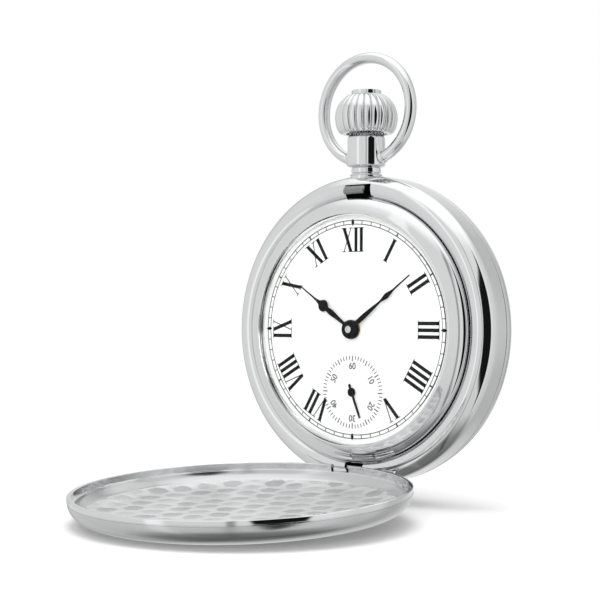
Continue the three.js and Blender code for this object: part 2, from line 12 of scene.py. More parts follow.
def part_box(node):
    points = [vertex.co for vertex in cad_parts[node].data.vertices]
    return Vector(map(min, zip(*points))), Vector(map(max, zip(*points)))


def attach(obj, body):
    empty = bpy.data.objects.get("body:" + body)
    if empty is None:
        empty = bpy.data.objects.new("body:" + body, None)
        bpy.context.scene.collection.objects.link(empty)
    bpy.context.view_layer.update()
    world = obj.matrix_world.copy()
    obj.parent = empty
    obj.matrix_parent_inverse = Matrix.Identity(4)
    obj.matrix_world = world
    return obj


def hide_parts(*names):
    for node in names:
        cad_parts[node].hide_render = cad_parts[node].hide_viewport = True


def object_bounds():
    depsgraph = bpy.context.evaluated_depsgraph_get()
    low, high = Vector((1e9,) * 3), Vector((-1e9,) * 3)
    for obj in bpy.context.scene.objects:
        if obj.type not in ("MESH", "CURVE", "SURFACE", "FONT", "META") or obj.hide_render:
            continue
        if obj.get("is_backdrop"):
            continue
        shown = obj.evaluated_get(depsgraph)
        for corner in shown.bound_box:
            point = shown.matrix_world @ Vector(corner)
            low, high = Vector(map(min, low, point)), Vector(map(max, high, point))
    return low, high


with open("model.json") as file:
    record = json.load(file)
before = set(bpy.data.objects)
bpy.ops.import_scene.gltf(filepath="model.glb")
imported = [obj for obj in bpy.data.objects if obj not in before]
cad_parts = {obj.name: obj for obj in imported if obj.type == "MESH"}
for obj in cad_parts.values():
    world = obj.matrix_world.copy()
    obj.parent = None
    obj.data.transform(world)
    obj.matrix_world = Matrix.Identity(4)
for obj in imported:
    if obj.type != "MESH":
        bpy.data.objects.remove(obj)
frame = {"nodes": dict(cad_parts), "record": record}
cad_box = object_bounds()

MM = 0.001
TAU = 2 * math.pi
DIAL_LOW, DIAL_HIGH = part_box("dial")
FACE_Y = DIAL_LOW.y
CENTRE_Z = (DIAL_LOW.z + DIAL_HIGH.z) / 2
STEM_Y = 3.6
HINGE_Y, HINGE_Z = -2.5, -24.9
LID_OPEN = math.radians(92.7)


def at(x, y, z):
    """A place in the shared frame, in metres."""
    return Vector((x * MM, FACE_Y + y * MM, CENTRE_Z + z * MM))


def in_mm(point):
    """The opposite of at()."""
    return (point - at(0, 0, 0)) / MM


# ---------------------------------------------------------------- node materials
class Nodes:
    """Short calls that add and link nodes in one material or world."""

    def __init__(self, owner):
        owner.use_nodes = True
        self.tree = owner.node_tree
        self.tree.nodes.clear()

    def add(self, kind, **inputs):
        node = self.tree.nodes.new(kind)
        for key, value in inputs.items():
            self.put(node, key.replace("_", " "), value)
        return node

    def put(self, node, key, value):
        """Links a socket or sets a value on the input of this name or number."""
        socket = node.inputs[int(key)] if key.isdigit() else node.inputs[key]
        if isinstance(value, bpy.types.NodeSocket):
            self.tree.links.new(value, socket)
        else:
            socket.default_value = value

    def math(self, operation, *values):
        node = self.tree.nodes.new("ShaderNodeMath")
        node.operation = operation
        for i, value in enumerate(values):
            self.put(node, str(i), value)
        return node.outputs[0]

    def line(self, value, slope, start):
        return self.math("ADD", self.math("MULTIPLY", value, slope), start)

    def weigh(self, first, first_weight, second, second_weight):
        return self.math("ADD", self.math("MULTIPLY", first, first_weight),
                         self.math("MULTIPLY", second, second_weight))

    def ramp(self, factor, stops, interpolation="LINEAR"):
        """Greys or colours by position, given as (position, value) stops."""
        node = self.tree.nodes.new("ShaderNodeValToRGB")
        self.put(node, "Fac", factor)
        band = node.color_ramp
        band.interpolation = interpolation
        while len(band.elements) < len(stops):
            band.elements.new(0.5)
        for element, (position, value) in zip(band.elements, stops):
            element.position = position
            element.color = (value, value, value, 1) if isinstance(value, float) else (*value, 1)
        return node.outputs["Color"]

    def blend(self, mode, factor, first, second):
        node = self.tree.nodes.new("ShaderNodeMix")
        node.data_type, node.blend_type = "RGBA", mode
        for key, value in (("0", factor), ("6", first), ("7", second)):
            self.put(node, key, value)
        return node.outputs[2]

    def place(self, scale=(1, 1, 1)):
        """Object coordinates in metres, stretched by a scale for each axis."""
        where = self.add("ShaderNodeTexCoord").outputs["Object"]
        return self.add("ShaderNodeMapping", Vector=where, Scale=scale).outputs["Vector"]

    def noise(self, vector, scale, detail=3.0, roughness=0.5):
        node = self.add("ShaderNodeTexNoise", Vector=vector, Scale=scale, Detail=detail,
                        Roughness=roughness)
        return node.outputs["Fac"]

    def bump(self, height, strength, distance):
        node = self.add("ShaderNodeBump", Height=height, Strength=strength, Distance=distance)
        return node.outputs["Normal"]

    def surface(self, **inputs):
        shader = self.add("ShaderNodeBsdfPrincipled", **inputs)
        output = self.tree.nodes.new("ShaderNodeOutputMaterial")
        self.tree.links.new(shader.outputs[0], output.inputs["Surface"])


def material(name):
    made = bpy.data.materials.new(name)
    return made, Nodes(made)


def dimmed(tint, share):
    return tuple(c * share for c in tint)


def polished(name, tint=(0.755, 0.76, 0.765), gloss=0.05, wear=0.03):
    """Mirror-polished plate: smears and faint hairlines over an almost even gloss."""
    made, n = material(name)
    where = n.place()
    smears = n.noise(where, 260.0, 4.0)
    hairlines = n.noise(n.place((1, 1, 9)), 1500.0, 2.0)
    marks = n.weigh(smears, wear, hairlines, wear * 0.5)
    shade = n.ramp(smears, [(0.3, dimmed(tint, 0.97)), (0.7, tint)])
    n.surface(**{
        "Base_Color": shade, "Metallic": 1.0, "Roughness": n.math("ADD", marks, gloss - wear * 0.6),
        "Normal": n.bump(n.noise(where, 60.0, 1.0), 0.02, 0.0002),
    })
    return made


def ground_metal(name, tint, rough, grain=(1, 1, 1), scale=3000.0, depth=0.00002):
    """Plated or ground metal with a fine directional grain and slight tarnish."""
    made, n = material(name)
    lines = n.noise(n.place(grain), scale, 4.0, 0.6)
    tarnish = n.noise(n.place(), 300.0, 5.0, 0.6)
    shade = n.ramp(tarnish, [(0.3, dimmed(tint, 0.82)), (0.65, tint)])
    n.surface(**{
        "Base_Color": shade, "Metallic": 1.0, "Roughness": n.line(lines, 0.16, rough - 0.08),
        "Normal": n.bump(lines, 0.35, depth),
    })
    return made


def dial_white():
    made, n = material("dial_white")
    where = n.place()
    grain = n.noise(where, 5200.0, 3.0, 0.6)
    cloud = n.noise(where, 120.0, 3.0)
    shade = n.ramp(cloud, [(0.3, (0.93, 0.93, 0.925)), (0.7, (0.955, 0.955, 0.95))])
    n.surface(**{
        "Base_Color": shade, "Roughness": n.line(grain, 0.12, 0.38),
        "Normal": n.bump(grain, 0.1, 0.00001), "Coat_Weight": 0.25, "Coat_Roughness": 0.12,
    })
    return made


def ink(name, level, rough):
    made, n = material(name)
    spread = n.noise(n.place(), 9000.0, 2.0)
    shade = n.ramp(spread, [(0.2, (level,) * 3), (0.8, (level * 1.6 + 0.004,) * 3)])
    n.surface(**{
        "Base_Color": shade, "Roughness": n.line(spread, 0.2, rough),
        "Normal": n.bump(spread, 0.15, 0.000006), "Specular_IOR_Level": 0.08,
    })
    return made


def crystal_glass():
    """Glass that bends light little, so that the dial under it stays plain to read."""
    made, n = material("crystal_glass")
    ripple = n.noise(n.place(), 60.0, 1.0)
    wipe = n.noise(n.place((1, 1, 4)), 700.0, 3.0)
    n.surface(**{
        "Base_Color": (0.99, 0.995, 0.99, 1), "Roughness": n.math("MULTIPLY", wipe, 0.012), "IOR": 1.12,
        "Transmission_Weight": 1.0, "Normal": n.bump(ripple, 0.02, 0.0001),
    })
    return made


def pearled():
    """The lid's spotted floor. The uv map holds each point's place in its own spot, with 1 as the rim.
    The spots' colour carries painted light: shade across each spot and a highlight on one side of its
    rim.
    """
    made, n = material("pearled_metal_painted_highlights")
    spot = n.add("ShaderNodeUVMap")
    spot.uv_map = "spot"
    from_middle = n.add("ShaderNodeVectorMath")
    from_middle.operation = "LENGTH"
    n.put(from_middle, "0", spot.outputs["UV"])
    radius = from_middle.outputs["Value"]
    rings = n.math("SINE", n.math("MULTIPLY", radius, 95.0))
    uneven = n.noise(n.place(), 420.0, 3.0, 0.6)
    fine = n.noise(n.place(), 6000.0, 2.0, 0.7)
    height = n.weigh(rings, 0.5, fine, 0.6)
    own = n.add("ShaderNodeAttribute")
    own.attribute_name = "tone"
    side = n.add("ShaderNodeSeparateXYZ", Vector=spot.outputs["UV"])
    # Painted shade: each spot darkens from one side to the other, as if lit from one side.
    slope = n.weigh(side.outputs[0], 0.2, side.outputs[1], 0.25)
    tone = n.weigh(own.outputs["Fac"], 0.45, uneven, 0.8)
    middle = n.ramp(n.math("ADD", tone, slope), [
        (0.25, (0.53, 0.534, 0.54)), (0.6, (0.66, 0.664, 0.668)), (0.95, (0.84, 0.842, 0.845)),
    ])
    ragged = n.math("ADD", radius, n.math("MULTIPLY", uneven, 0.7))
    # Painted highlight: a near-white rim round each spot, kept to its lit side by lit_side.
    edge = n.ramp(ragged, [(0.85, 0.0), (1.38, 1.0)], "EASE")
    lit_side = n.ramp(n.line(slope, -1.6, 0.45), [(0.0, 0.1), (0.9, 1.0)])
    shade = n.blend("MIX", n.math("MULTIPLY", edge, lit_side), middle, (0.95, 0.95, 0.95, 1))
    n.surface(**{
        "Base_Color": shade, "Metallic": 1.0, "Roughness": n.line(fine, 0.12, 0.24),
        "Normal": n.bump(height, 0.5, 0.000012),
    })
    return made


CHROME = polished("polished_chrome")
CHROME_BAND = polished("polished_chrome_band", gloss=0.065)
# Painted shade: a darker copy of the chrome, with a satin roughness, for the lid's outside and floor.
SHADED_SATIN_CHROME = polished("satin_chrome_painted_shade", (0.62, 0.625, 0.63), gloss=0.2, wear=0.06)
PEARL = pearled()
DIAL = dial_white()
INK = ink("printed_black", 0.006, 0.35)
GREY_INK = ink("printed_grey", 0.04, 0.5)
HAND_BLACK = ink("hand_black", 0.003, 0.3)
GLASS = crystal_glass()
# Painted shade: plain black for the inner walls and floors of the rim's windows, where shade falls.
RECESS_SHADE = ink("painted_recess_shade", 0.002, 0.5)
NIB_STEEL = ground_metal("catch_steel", (0.3, 0.303, 0.306), 0.3, (1, 1, 1), 1600.0, 0.00004)
SLOT_MATERIALS = {
    "chrome": CHROME,
    "steel": ground_metal("ground_steel", (0.72, 0.73, 0.74), 0.24, (1, 6, 1)),
    "nickel": ground_metal("nickel_plate", (0.78, 0.77, 0.73), 0.34, (8, 1, 1), 1500.0),
    "brass": ground_metal("gilt_brass", (0.83, 0.66, 0.34), 0.28, (1, 1, 1), 2600.0),
    "blued_steel": ground_metal("blued_steel", (0.07, 0.12, 0.32), 0.22, (1, 1, 5)),
    "black": HAND_BLACK,
    "dial_white": DIAL,
    "crystal": GLASS,
}
for part in frame["record"]["subparts"]:
    node = frame["nodes"][part["node"]]
    node.data.materials.clear()
    node.data.materials.append(SLOT_MATERIALS[part["material_slot"]])


# ---------------------------------------------------------------- mesh helpers
ROUND = 288  # segments of a large turned piece
AXIS = 0.001  # radius at which a turned piece closes on its axis
EDGE_SHARE = 0.49  # the most that a rounding takes of an edge
ROUNDED_FROM = math.radians(30)  # edges that bend more than this are rounded
WINDOW_SLACK_X, WINDOW_SLACK_Z = 0.02, 0.05  # past a window, where a face is still its wall


def circle(first, second, r, count=48):
    """Points round a middle, as an outline of (y, z) or of (x, z)."""
    return [(first + r * math.cos(TAU * k / count), second + r * math.sin(TAU * k / count))
            for k in range(count)]


def fillet(corners, steps=7):
    """Points of a run of (r, y) or (r, y, rounding) corners, with each rounding drawn as a curve."""
    points = [(*corner, 0)[:3] for corner in corners]
    out = []
    last = len(points) - 1
    for i, (r, y, rounding) in enumerate(points):
        if rounding <= 0 or i in (0, last):
            out.append((r, y))
            continue
        here = Vector((r, y))
        before = Vector(points[i - 1][:2]) - here
        after = Vector(points[i + 1][:2]) - here
        start = here + before.normalized() * min(rounding, before.length * EDGE_SHARE)
        end = here + after.normalized() * min(rounding, after.length * EDGE_SHARE)
        for k in range(steps + 1):
            t = k / steps
            p = start * (1 - t) ** 2 + here * (2 * t * (1 - t)) + end * t ** 2
            out.append((p.x, p.y))
    return out


def placed(name, data):
    made = bpy.data.objects.new(name, data)
    bpy.context.collection.objects.link(made)
    return made


def new_object(name, verts, faces):
    mesh = bpy.data.meshes.new(name)
    mesh.from_pydata([tuple(v) for v in verts], [], faces)
    mesh.validate()
    work = bmesh.new()
    work.from_mesh(mesh)
    bmesh.ops.remove_doubles(work, verts=work.verts, dist=1e-7)
    bmesh.ops.recalc_face_normals(work, faces=work.faces)
    work.to_mesh(mesh)
    work.free()
    return placed(name, mesh)


def assign(made, look, body, nodes=()):
    """Gives the piece its material and its body, and hides the CAD nodes that it stands for."""
    made.data.materials.clear()
    made.data.materials.append(look)
    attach(made, body)
    if nodes:
        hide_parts(*nodes)


def smooth(made):
    made.data.polygons.foreach_set("use_smooth", [True] * len(made.data.polygons))


def dress(made, look, body, nodes=(), sharp=40):
    """Smooth shading that keeps edges sharp past an angle in degrees, then all that assign() sets."""
    smooth(made)
    made.data.set_sharp_from_angle(angle=math.radians(sharp))
    weighted = made.modifiers.new("weighted", "WEIGHTED_NORMAL")
    weighted.keep_sharp = True
    assign(made, look, body, nodes)


def soften(made, width, segments=4):
    edge = made.modifiers.new("edges", "BEVEL")
    edge.width = width * MM
    edge.segments = segments
    edge.limit_method = "ANGLE"
    edge.angle_limit = ROUNDED_FROM


def spun(profile, segments, closed=True, swell=None):
    """Points and faces of an (r, y) profile turned about the Y axis.

    swell(angle, r, y) gives the radius to use, and closed joins the profile's end to its start.
    """
    verts, faces = [], []
    count = len(profile)
    for k in range(segments):
        angle = TAU * k / segments
        for r, y in profile:
            reach = swell(angle, r, y) if swell else r
            verts.append((reach * math.sin(angle), y, reach * math.cos(angle)))
    for k in range(segments):
        a, b = k * count, ((k + 1) % segments) * count
        for i in range(count if closed else count - 1):
            j = (i + 1) % count
            faces.append((a + i, a + j, b + j, b + i))
    return verts, faces


def turned(name, corners, segments=ROUND, place=(0, 0)):
    """Corners turned about a line that runs straight into the dial at place, a point of (x, z)."""
    verts, faces = spun(fillet(corners), segments)
    return new_object(name, [at(x + place[0], y, z + place[1]) for x, y, z in verts], faces)


def turned_up(name, corners, segments=128, steps=7, swell=None):
    """The same about the stem, with (r, z) and (r, z, rounding) corners."""
    verts, faces = spun(fillet(corners, steps), segments, swell=swell)
    return new_object(name, [at(x, STEM_Y - z, y) for x, y, z in verts], faces)


def prisms(name, ends):
    """Solids that each run straight from one outline of (x, y, z) points to an equal one."""
    verts, faces = [], []
    for near, far in ends:
        base, count = len(verts), len(near)
        verts += [at(*p) for p in near + far]
        faces.append(tuple(range(base, base + count)))
        faces.append(tuple(range(base + 2 * count - 1, base + count - 1, -1)))
        for i in range(count):
            j = (i + 1) % count
            faces.append((base + i, base + j, base + count + j, base + count + i))
    return new_object(name, verts, faces)


def slab(name, loops, front, back):
    """Flat shapes between two depths. Each loop is one outline of (x, z)."""
    ends = [[[(x, y, z) for x, z in loop] for y in (front, back)] for loop in loops]
    return prisms(name, ends)


def across(name, outline, spans, bevel):
    """An outline of (y, z) carried along X over each span, with its edges rounded."""
    ends = [[[(x, y, z) for y, z in outline] for x in span] for span in spans]
    made = prisms(name, ends)
    soften(made, bevel)
    return made


def carve(made, tools):
    """Cuts the tools out of a piece and keeps the result as plain mesh."""
    for tool in tools:
        step = made.modifiers.new("cut", "BOOLEAN")
        step.operation = "DIFFERENCE"
        step.solver = "EXACT"
        step.object = tool
    bpy.context.view_layer.update()
    done = bpy.data.meshes.new_from_object(made.evaluated_get(bpy.context.evaluated_depsgraph_get()))
    made.modifiers.clear()
    made.data = done
    for tool in tools:
        bpy.data.objects.remove(tool)


def block(window, y0, y1):
    """A cutting block as wide and high as a window of (x0, x1, z0, z1)."""
    x0, x1, z0, z1 = window
    return slab("tool", [[(x0, z0), (x1, z0), (x1, z1), (x0, z1)]], y0, y1)


def within(x, z, window):
    x0, x1, z0, z1 = window
    level = z0 - WINDOW_SLACK_Z < z < z1 + WINDOW_SLACK_Z
    return level and x0 - WINDOW_SLACK_X < x < x1 + WINDOW_SLACK_X


# ---------------------------------------------------------------- case
SPRING_WINDOW = (-1.75, 1.75, -23.9, -21.45)
CATCH_WINDOW = (-1.78, 3.2, 21.2, 23.3)
KNUCKLE_R = 0.95
KNUCKLE_SPACE_R = 3.85
LUG_SPANS = [(-7.2, -2.8), (2.8, 7.2)]


def make_case():
    case = turned("case_middle_shell", [
        (20.2, 1.95), (21.28, 1.95, 0.03), (21.28, 0.8, 0.12), (21.8, 0.32, 0.4), (22.8, 0.12, 0.8),
        (23.55, 0.32, 0.4), (24.15, 0.86, 0.3), (24.62, 1.32, 0.3), (24.87, 2.0, 0.4), (24.9, 3.0, 0.4),
        (24.9, 5.6, 0.1), (22.9, 5.6), (22.9, 7.0), (20.2, 7.0),
    ])
    lid_swing = across("tool", circle(HINGE_Y, HINGE_Z, KNUCKLE_SPACE_R, 96), [(-9, 9)], 0)
    carve(case, [lid_swing, block(SPRING_WINDOW, -1, 5.55), block(CATCH_WINDOW, -1, 1.75)])
    dress(case, CHROME, "case", ["case_middle"])
    case.data.materials.append(RECESS_SHADE)
    # The windows' own walls and floors get painted shade, black as a shadowed recess, and the seat around
    # them stays bright.
    for face in case.data.polygons:
        x, y, z = in_mm(face.center)
        facing_in = abs(face.normal.y) < 0.6 or y > 1.6
        at_catch = within(x, z, CATCH_WINDOW) and -0.5 < y < 1.8
        at_spring = within(x, z, SPRING_WINDOW) and y < 5.6
        if facing_in and (at_catch or at_spring):
            face.material_index = 1


def make_hinge():
    lug = [
        (HINGE_Y, -25.85), (3.9, -25.85), (4.8, -25.0), (4.8, -23.6), (1.45, -23.6), (1.45, -25.1),
        (HINGE_Y, -25.1),
    ]
    dress(across("hinge_lugs", lug, LUG_SPANS, 0.1), CHROME, "case")
    knuckles = across("case_knuckles", circle(HINGE_Y, HINGE_Z, KNUCKLE_R), LUG_SPANS, 0.08)
    dress(knuckles, CHROME, "case")
    pin = across("hinge_pin_ends", circle(HINGE_Y, HINGE_Z, 0.42), [(-7.24, 7.24)], 0.06)
    dress(pin, SLOT_MATERIALS["steel"], "case", ["hinge_pin"])


def make_springs():
    """What the rim's two windows show of the springs: one pushes the lid open, one holds it shut."""
    tongue = [(0.45, -21.95), (0.45, -22.4), (0.7, -22.62), (2.6, -22.62), (2.6, -21.95)]
    dress(across("lift_spring_tongue", tongue, [(-1.5, 1.5)], 0.1), SLOT_MATERIALS["steel"],
          "case", ["lift_spring"])
    nib = [(-0.5, 21.75), (-0.62, 22.5), (-0.15, 23.1), (1.5, 23.15), (1.5, 21.75)]
    dress(across("catch_nib", nib, [(-1.8, 2.28)], 0.5), NIB_STEEL, "catch", ["catch_spring"])


def make_back():
    back = turned("back_cover_shell", [
        (AXIS, 11.0), (9.0, 11.0, 3), (14, 10.85, 2.5), (18.5, 10.4, 2), (21.6, 9.8, 1.6),
        (23.4, 9.0, 1.0), (24.35, 8.1, 0.8), (24.72, 7.35, 0.3), (24.82, 6.9, 0.05), (24.62, 6.78, 0.04),
        (24.62, 6.66, 0.04), (24.9, 6.55, 0.08), (24.9, 5.75, 0.1), (23.1, 5.75), (23.1, 7.6, 0.3),
        (22.3, 8.7, 0.4), (20.9, 9.3, 0.4), (18, 9.8), (9, 10.3), (AXIS, 10.3),
    ])
    dress(back, CHROME_BAND, "back_cover", ["back_cover"])


def make_bezel():
    bezel = turned("bezel_ring", [
        (19.95, 1.85), (21.2, 1.85, 0.05), (21.2, 0.1, 0.35), (20.95, -0.28, 0.2), (20.2, -0.84, 0.7),
        (19.3, -1.28, 0.5), (18.85, -1.46, 0.2), (18.55, -1.42, 0.06), (18.62, -1.12, 0.02),
        (19.05, -1.12), (19.05, -0.47), (19.95, -0.47),
    ])
    dress(bezel, CHROME, "case", ["bezel"])
    ring = turned("dial_ring_step", [
        (18.35, -0.42), (18.8, -0.45, 0.05), (19.85, -0.42), (19.85, -0.06), (18.35, -0.02),
        (18.3, -0.06, 0.02), (18.3, -0.4, 0.02),
    ])
    dress(ring, CHROME, "case", ["dial_ring"])


def make_crystal():
    glass = turned("crystal_dome", [
        (AXIS, -2.0), (12, -1.9, 3), (17, -1.65, 1), (18.2, -1.35, 0.3), (18.45, -1.06, 0.05),
        (18.95, -1.06), (18.95, -0.52), (18.3, -0.52), (17.7, -1.05, 0.2), (16.4, -1.2, 0.8),
        (12, -1.38, 2), (AXIS, -1.45),
    ], segments=192)
    dress(glass, GLASS, "case", ["crystal"], sharp=60)
    glass.visible_shadow = False


# ---------------------------------------------------------------- lid, modelled closed, then swung open
LID_GAP = (-1.7, 1.7, -25.4, -23.2)
LID_FLOOR = [(0, -2.75), (12, -2.65, 3), (20.5, -2.3, 1.5), (22.9, -1.7, 0.5), (23.6, -0.7, 0.3)]


def floor_depth(r):
    for (r0, y0, *_), (r1, y1, *_) in zip(LID_FLOOR, LID_FLOOR[1:]):
        if r <= r1:
            return y0 + (y1 - y0) * (r - r0) / (r1 - r0)
    return LID_FLOOR[-1][1]


def swung(made):
    """Turns a piece modelled on the closed lid about the hinge to the open rest place."""
    pivot = at(0, HINGE_Y, HINGE_Z)
    turn = Matrix.Translation(pivot) @ Matrix.Rotation(LID_OPEN, 4, "X") @ Matrix.Translation(-pivot)
    made.data.transform(turn)
    return made


def make_lid():
    shell = turned("front_lid_shell", [
        (AXIS, -3.6), (9, -3.6, 3), (15, -3.45, 2.5), (20.5, -3.05, 2), (22.9, -2.5, 1.0),
        (24.2, -1.6, 0.7), (24.72, -0.6, 0.4), (24.84, 0.1, 0.02), (24.7, 0.16, 0.02), (24.7, 0.24, 0.02),
        (24.85, 0.3, 0.02), (24.85, 0.9, 0.1), (24.2, 0.9, 0.1), (24.2, -0.1, 0.04), (23.75, -0.15, 0.06),
        *reversed(LID_FLOOR[1:]), (AXIS, LID_FLOOR[0][1]),
    ])
    carve(shell, [block(LID_GAP, -0.1, 1.2)])
    dress(shell, CHROME, "front_lid", ["front_lid"])
    shell.data.materials.append(SHADED_SATIN_CHROME)
    # The rounded outside and the floor under the spots are satin, in a tint darker than the chrome that
    # is painted shade.
    for face in shell.data.polygons:
        x, y, z = in_mm(face.center)
        far = math.hypot(x, z)
        outside = y < 0.12 and far > 20 and face.normal.x * x + face.normal.z * z > 0.3 * far
        inside = y < -0.1 and far < 23.72 and face.normal.y > 0.2
        if outside or inside:
            face.material_index = 1
    swung(shell)


def make_lid_knuckle():
    web = [(-3.3, -24.9), (-2.85, -23.2), (-1.75, -23.2), (-1.35, -23.7), (-1.6, -24.9)]
    outlines = {"lid_tongue": web, "lid_knuckle": circle(HINGE_Y, HINGE_Z, KNUCKLE_R)}
    for name, outline in outlines.items():
        piece = swung(across(name, outline, [(-2.5, 2.5)], 0.08))
        dress(piece, CHROME, "front_lid")


SPOT_R = 2.75
SPOT_PITCH_X, SPOT_PITCH_Z = 3.9, 3.7
SPOT_TILT = 0.005
SPOT_DISH = 0.002
SPOT_LIFT = 0.07  # off the lid's floor
SPOTS_R = 22.85  # spots are cut off here


def spot_middles():
    """Rows of (x, z, tone), with every second row half a pitch aside and tones from 0 to 1."""
    row, z = 0, -SPOTS_R
    while z <= SPOTS_R:
        x = -SPOTS_R + (SPOT_PITCH_X / 2 if row % 2 else 0)
        while x <= SPOTS_R:
            if math.hypot(x, z) < SPOTS_R + 1.6:
                yield x, z, (row * 5 + round(x / SPOT_PITCH_X) * 3 + row * row) % 7 / 6
            x += SPOT_PITCH_X
        z += SPOT_PITCH_Z
        row += 1


def make_spots():
    """Flat discs that overlap like roof tiles, because each is tilted a little the same way."""
    verts, faces, uvs, tones = [], [], [], []
    rings, around = 5, 40
    for middle_x, middle_z, tone in spot_middles():
        base = len(verts)
        for ring in range(rings + 1):
            part = ring / rings
            for k in range(around):
                angle = TAU * k / around
                du, dv = part * math.cos(angle), part * math.sin(angle)
                x, z = middle_x + SPOT_R * du, middle_z + SPOT_R * dv
                far = math.hypot(x, z)
                if far > SPOTS_R:
                    x, z = x * SPOTS_R / far, z * SPOTS_R / far
                depth = floor_depth(math.hypot(x, z)) + SPOT_LIFT
                verts.append((x, depth + SPOT_DISH * part ** 2 - SPOT_TILT * (du + 0.8 * dv), z))
                uvs.append((du, dv))
                tones.append(tone)
        for ring in range(rings):
            for k in range(around):
                a, b = base + ring * around + k, base + ring * around + (k + 1) % around
                faces.append((a, b, b + around, a + around))
    mesh = bpy.data.meshes.new("lid_pearling")
    mesh.from_pydata([tuple(at(*p)) for p in verts], [], faces)
    layer = mesh.uv_layers.new(name="spot")
    for loop in mesh.loops:
        layer.data[loop.index].uv = uvs[loop.vertex_index]
    mesh.attributes.new("tone", "FLOAT", "POINT").data.foreach_set("value", tones)
    made = swung(placed("lid_pearling", mesh))
    smooth(made)
    assign(made, PEARL, "front_lid")


# ---------------------------------------------------------------- pendant, bow and crown
def make_pendant():
    pendant = turned_up("pendant_tube", [
        (1.35, 21.0), (1.7, 21.0), (1.7, 24.2, 0.1), (2.5, 24.3, 0.1), (2.52, 24.93, 0.03),
        (2.62, 24.96, 0.03), (2.68, 25.08, 0.04), (2.6, 25.18, 0.04), (2.2, 25.22, 0.05),
        (2.15, 25.35, 0.05), (2.42, 25.4, 0.08), (2.42, 26.15, 0.12), (2.2, 26.3, 0.05),
        (2.7, 26.36, 0.08), (3.1, 26.55, 0.15), (3.1, 31.1, 0.3), (2.75, 31.6, 0.1), (1.35, 31.6),
    ])
    dress(pendant, CHROME, "case", ["pendant"])


BOW_R, BOW_MIDDLE_Z = 8.6, 35.6
BOW_END_X = 2.95
BOW_DRAWN_IN = 0.25  # how much the ring narrows towards its open end
WIRE_HALF_IN_RING, WIRE_HALF_ALONG_Y = 0.9, 1.1
BALL_X, BALL_Z, BALL_R = 3.1, 27.85, 1.12


def make_bow():
    steps, around, rounded_steps = 240, 44, 5
    start = math.asin(BOW_END_X / BOW_R)
    verts, faces = [], []
    for k in range(steps + 1):
        angle = start + (TAU - 2 * start) * k / steps
        drawn_in = BOW_DRAWN_IN * max(0.0, math.cos(angle)) ** 4
        near_end = min(1.0, min(k, steps - k) / rounded_steps)
        swell = math.sqrt(max(0.02, 1 - (1 - near_end) ** 2))
        for j in range(around):
            turn = TAU * j / around
            radial = WIRE_HALF_IN_RING * swell * math.cos(turn)
            wide = WIRE_HALF_ALONG_Y * swell * math.sin(turn)
            reach = BOW_R + radial - drawn_in
            x, z = reach * math.sin(angle), BOW_MIDDLE_Z - reach * math.cos(angle)
            verts.append(at(x, STEM_Y + wide, z))
    for k in range(steps):
        for j in range(around):
            i = (j + 1) % around
            a, b = k * around, (k + 1) * around
            faces.append((a + j, b + j, b + i, a + i))
    faces.append(tuple(range(around)))
    faces.append(tuple(range(steps * around + around - 1, steps * around - 1, -1)))
    dress(new_object("bow_wire", verts, faces), CHROME, "bow", ["bow"], sharp=50)


def make_bow_ends():
    steps = 24
    bends = [math.pi * k / steps for k in range(1, steps)]
    arc = [(BALL_R * math.sin(bend), -BALL_R * math.cos(bend)) for bend in bends]
    arc = [(AXIS, -BALL_R), *arc, (AXIS, BALL_R)]
    verts, faces = spun(arc, 48, closed=False)
    for name, side in (("bow_end_l", -1), ("bow_end_r", 1)):
        middle = Vector((side * BALL_X, STEM_Y, BALL_Z))
        ball = new_object(name, [at(*(middle + Vector(v))) for v in verts], faces)
        dress(ball, CHROME, "bow", sharp=80)


RIBS = 24
RIB_DEPTH = 0.42
RIBS_FROM_R, RIBS_FULL_R = 2.6, 3.3
CROWN_HOLLOW_R, CROWN_HOLLOW_Z = 3.4, 32.6


def ribbed(angle, r, z):
    """Draws the crown's radius in between its ribs, but not near its top's middle or in its hollow."""
    from_rib = (angle * RIBS / TAU) % 1 * 2 - 1
    groove = 0.3 * abs(from_rib) ** 2 + 0.7 * abs(from_rib) ** 7
    fade = max(0.0, min(1.0, (r - RIBS_FROM_R) / (RIBS_FULL_R - RIBS_FROM_R)))
    in_hollow = z < CROWN_HOLLOW_Z and r <= CROWN_HOLLOW_R
    return r if in_hollow else r - RIB_DEPTH * fade * groove


def make_crown():
    body = turned_up("crown_ribbed", [
        (0.62, 38.2), (2.6, 38.2, 0.1), (3.2, 38.05, 0.3), (4.0, 37.4, 0.6), (4.75, 36.3, 0.8),
        (5.1, 35.2, 0.7), (5.15, 34.2, 0.7), (4.95, 33.0, 0.7), (4.6, 32.2, 0.4), (4.2, 31.82, 0.2),
        (3.35, 31.8), (3.35, 32.8), (0.62, 32.8),
    ], segments=RIBS * 18, steps=9, swell=ribbed)
    dress(body, CHROME, "crown", ["crown"], sharp=60)
    cap = turned_up("crown_cap_disc", [
        (AXIS, 38.15), (2.45, 38.15, 0.02), (2.45, 38.82, 0.06), (2.3, 38.85, 0.05), (AXIS, 38.85),
    ], segments=96)
    dress(cap, CHROME, "crown", ["crown_cap"])


# ---------------------------------------------------------------- dial and its print
PRINT_FRONT = -0.03
SECONDS = (0, -10.07)
TRACK = (16.9, 17.5)
TRACK_LINE = 0.06  # half the width of its two circles
NUMERAL_LOW, NUMERAL_HIGH = 12.5, 16.3
THICK, THIN, SERIF = 0.58, 0.16, 0.12
LETTER_WIDTHS = {"I": 1.05, "V": 2.2, "X": 2.3}
NUMERALS = {
    1: "I", 2: "II", 3: "III", 4: "IIII", 5: "V", 7: "VII", 8: "VIII", 9: "IX", 10: "X", 11: "XI",
    12: "XII",
}
LABEL_R, LABEL_SIZE, LABEL_SQUEEZE = 4.15, 1.5, 0.9
LABEL_SPREAD = 0.018  # ink past each letter's edge


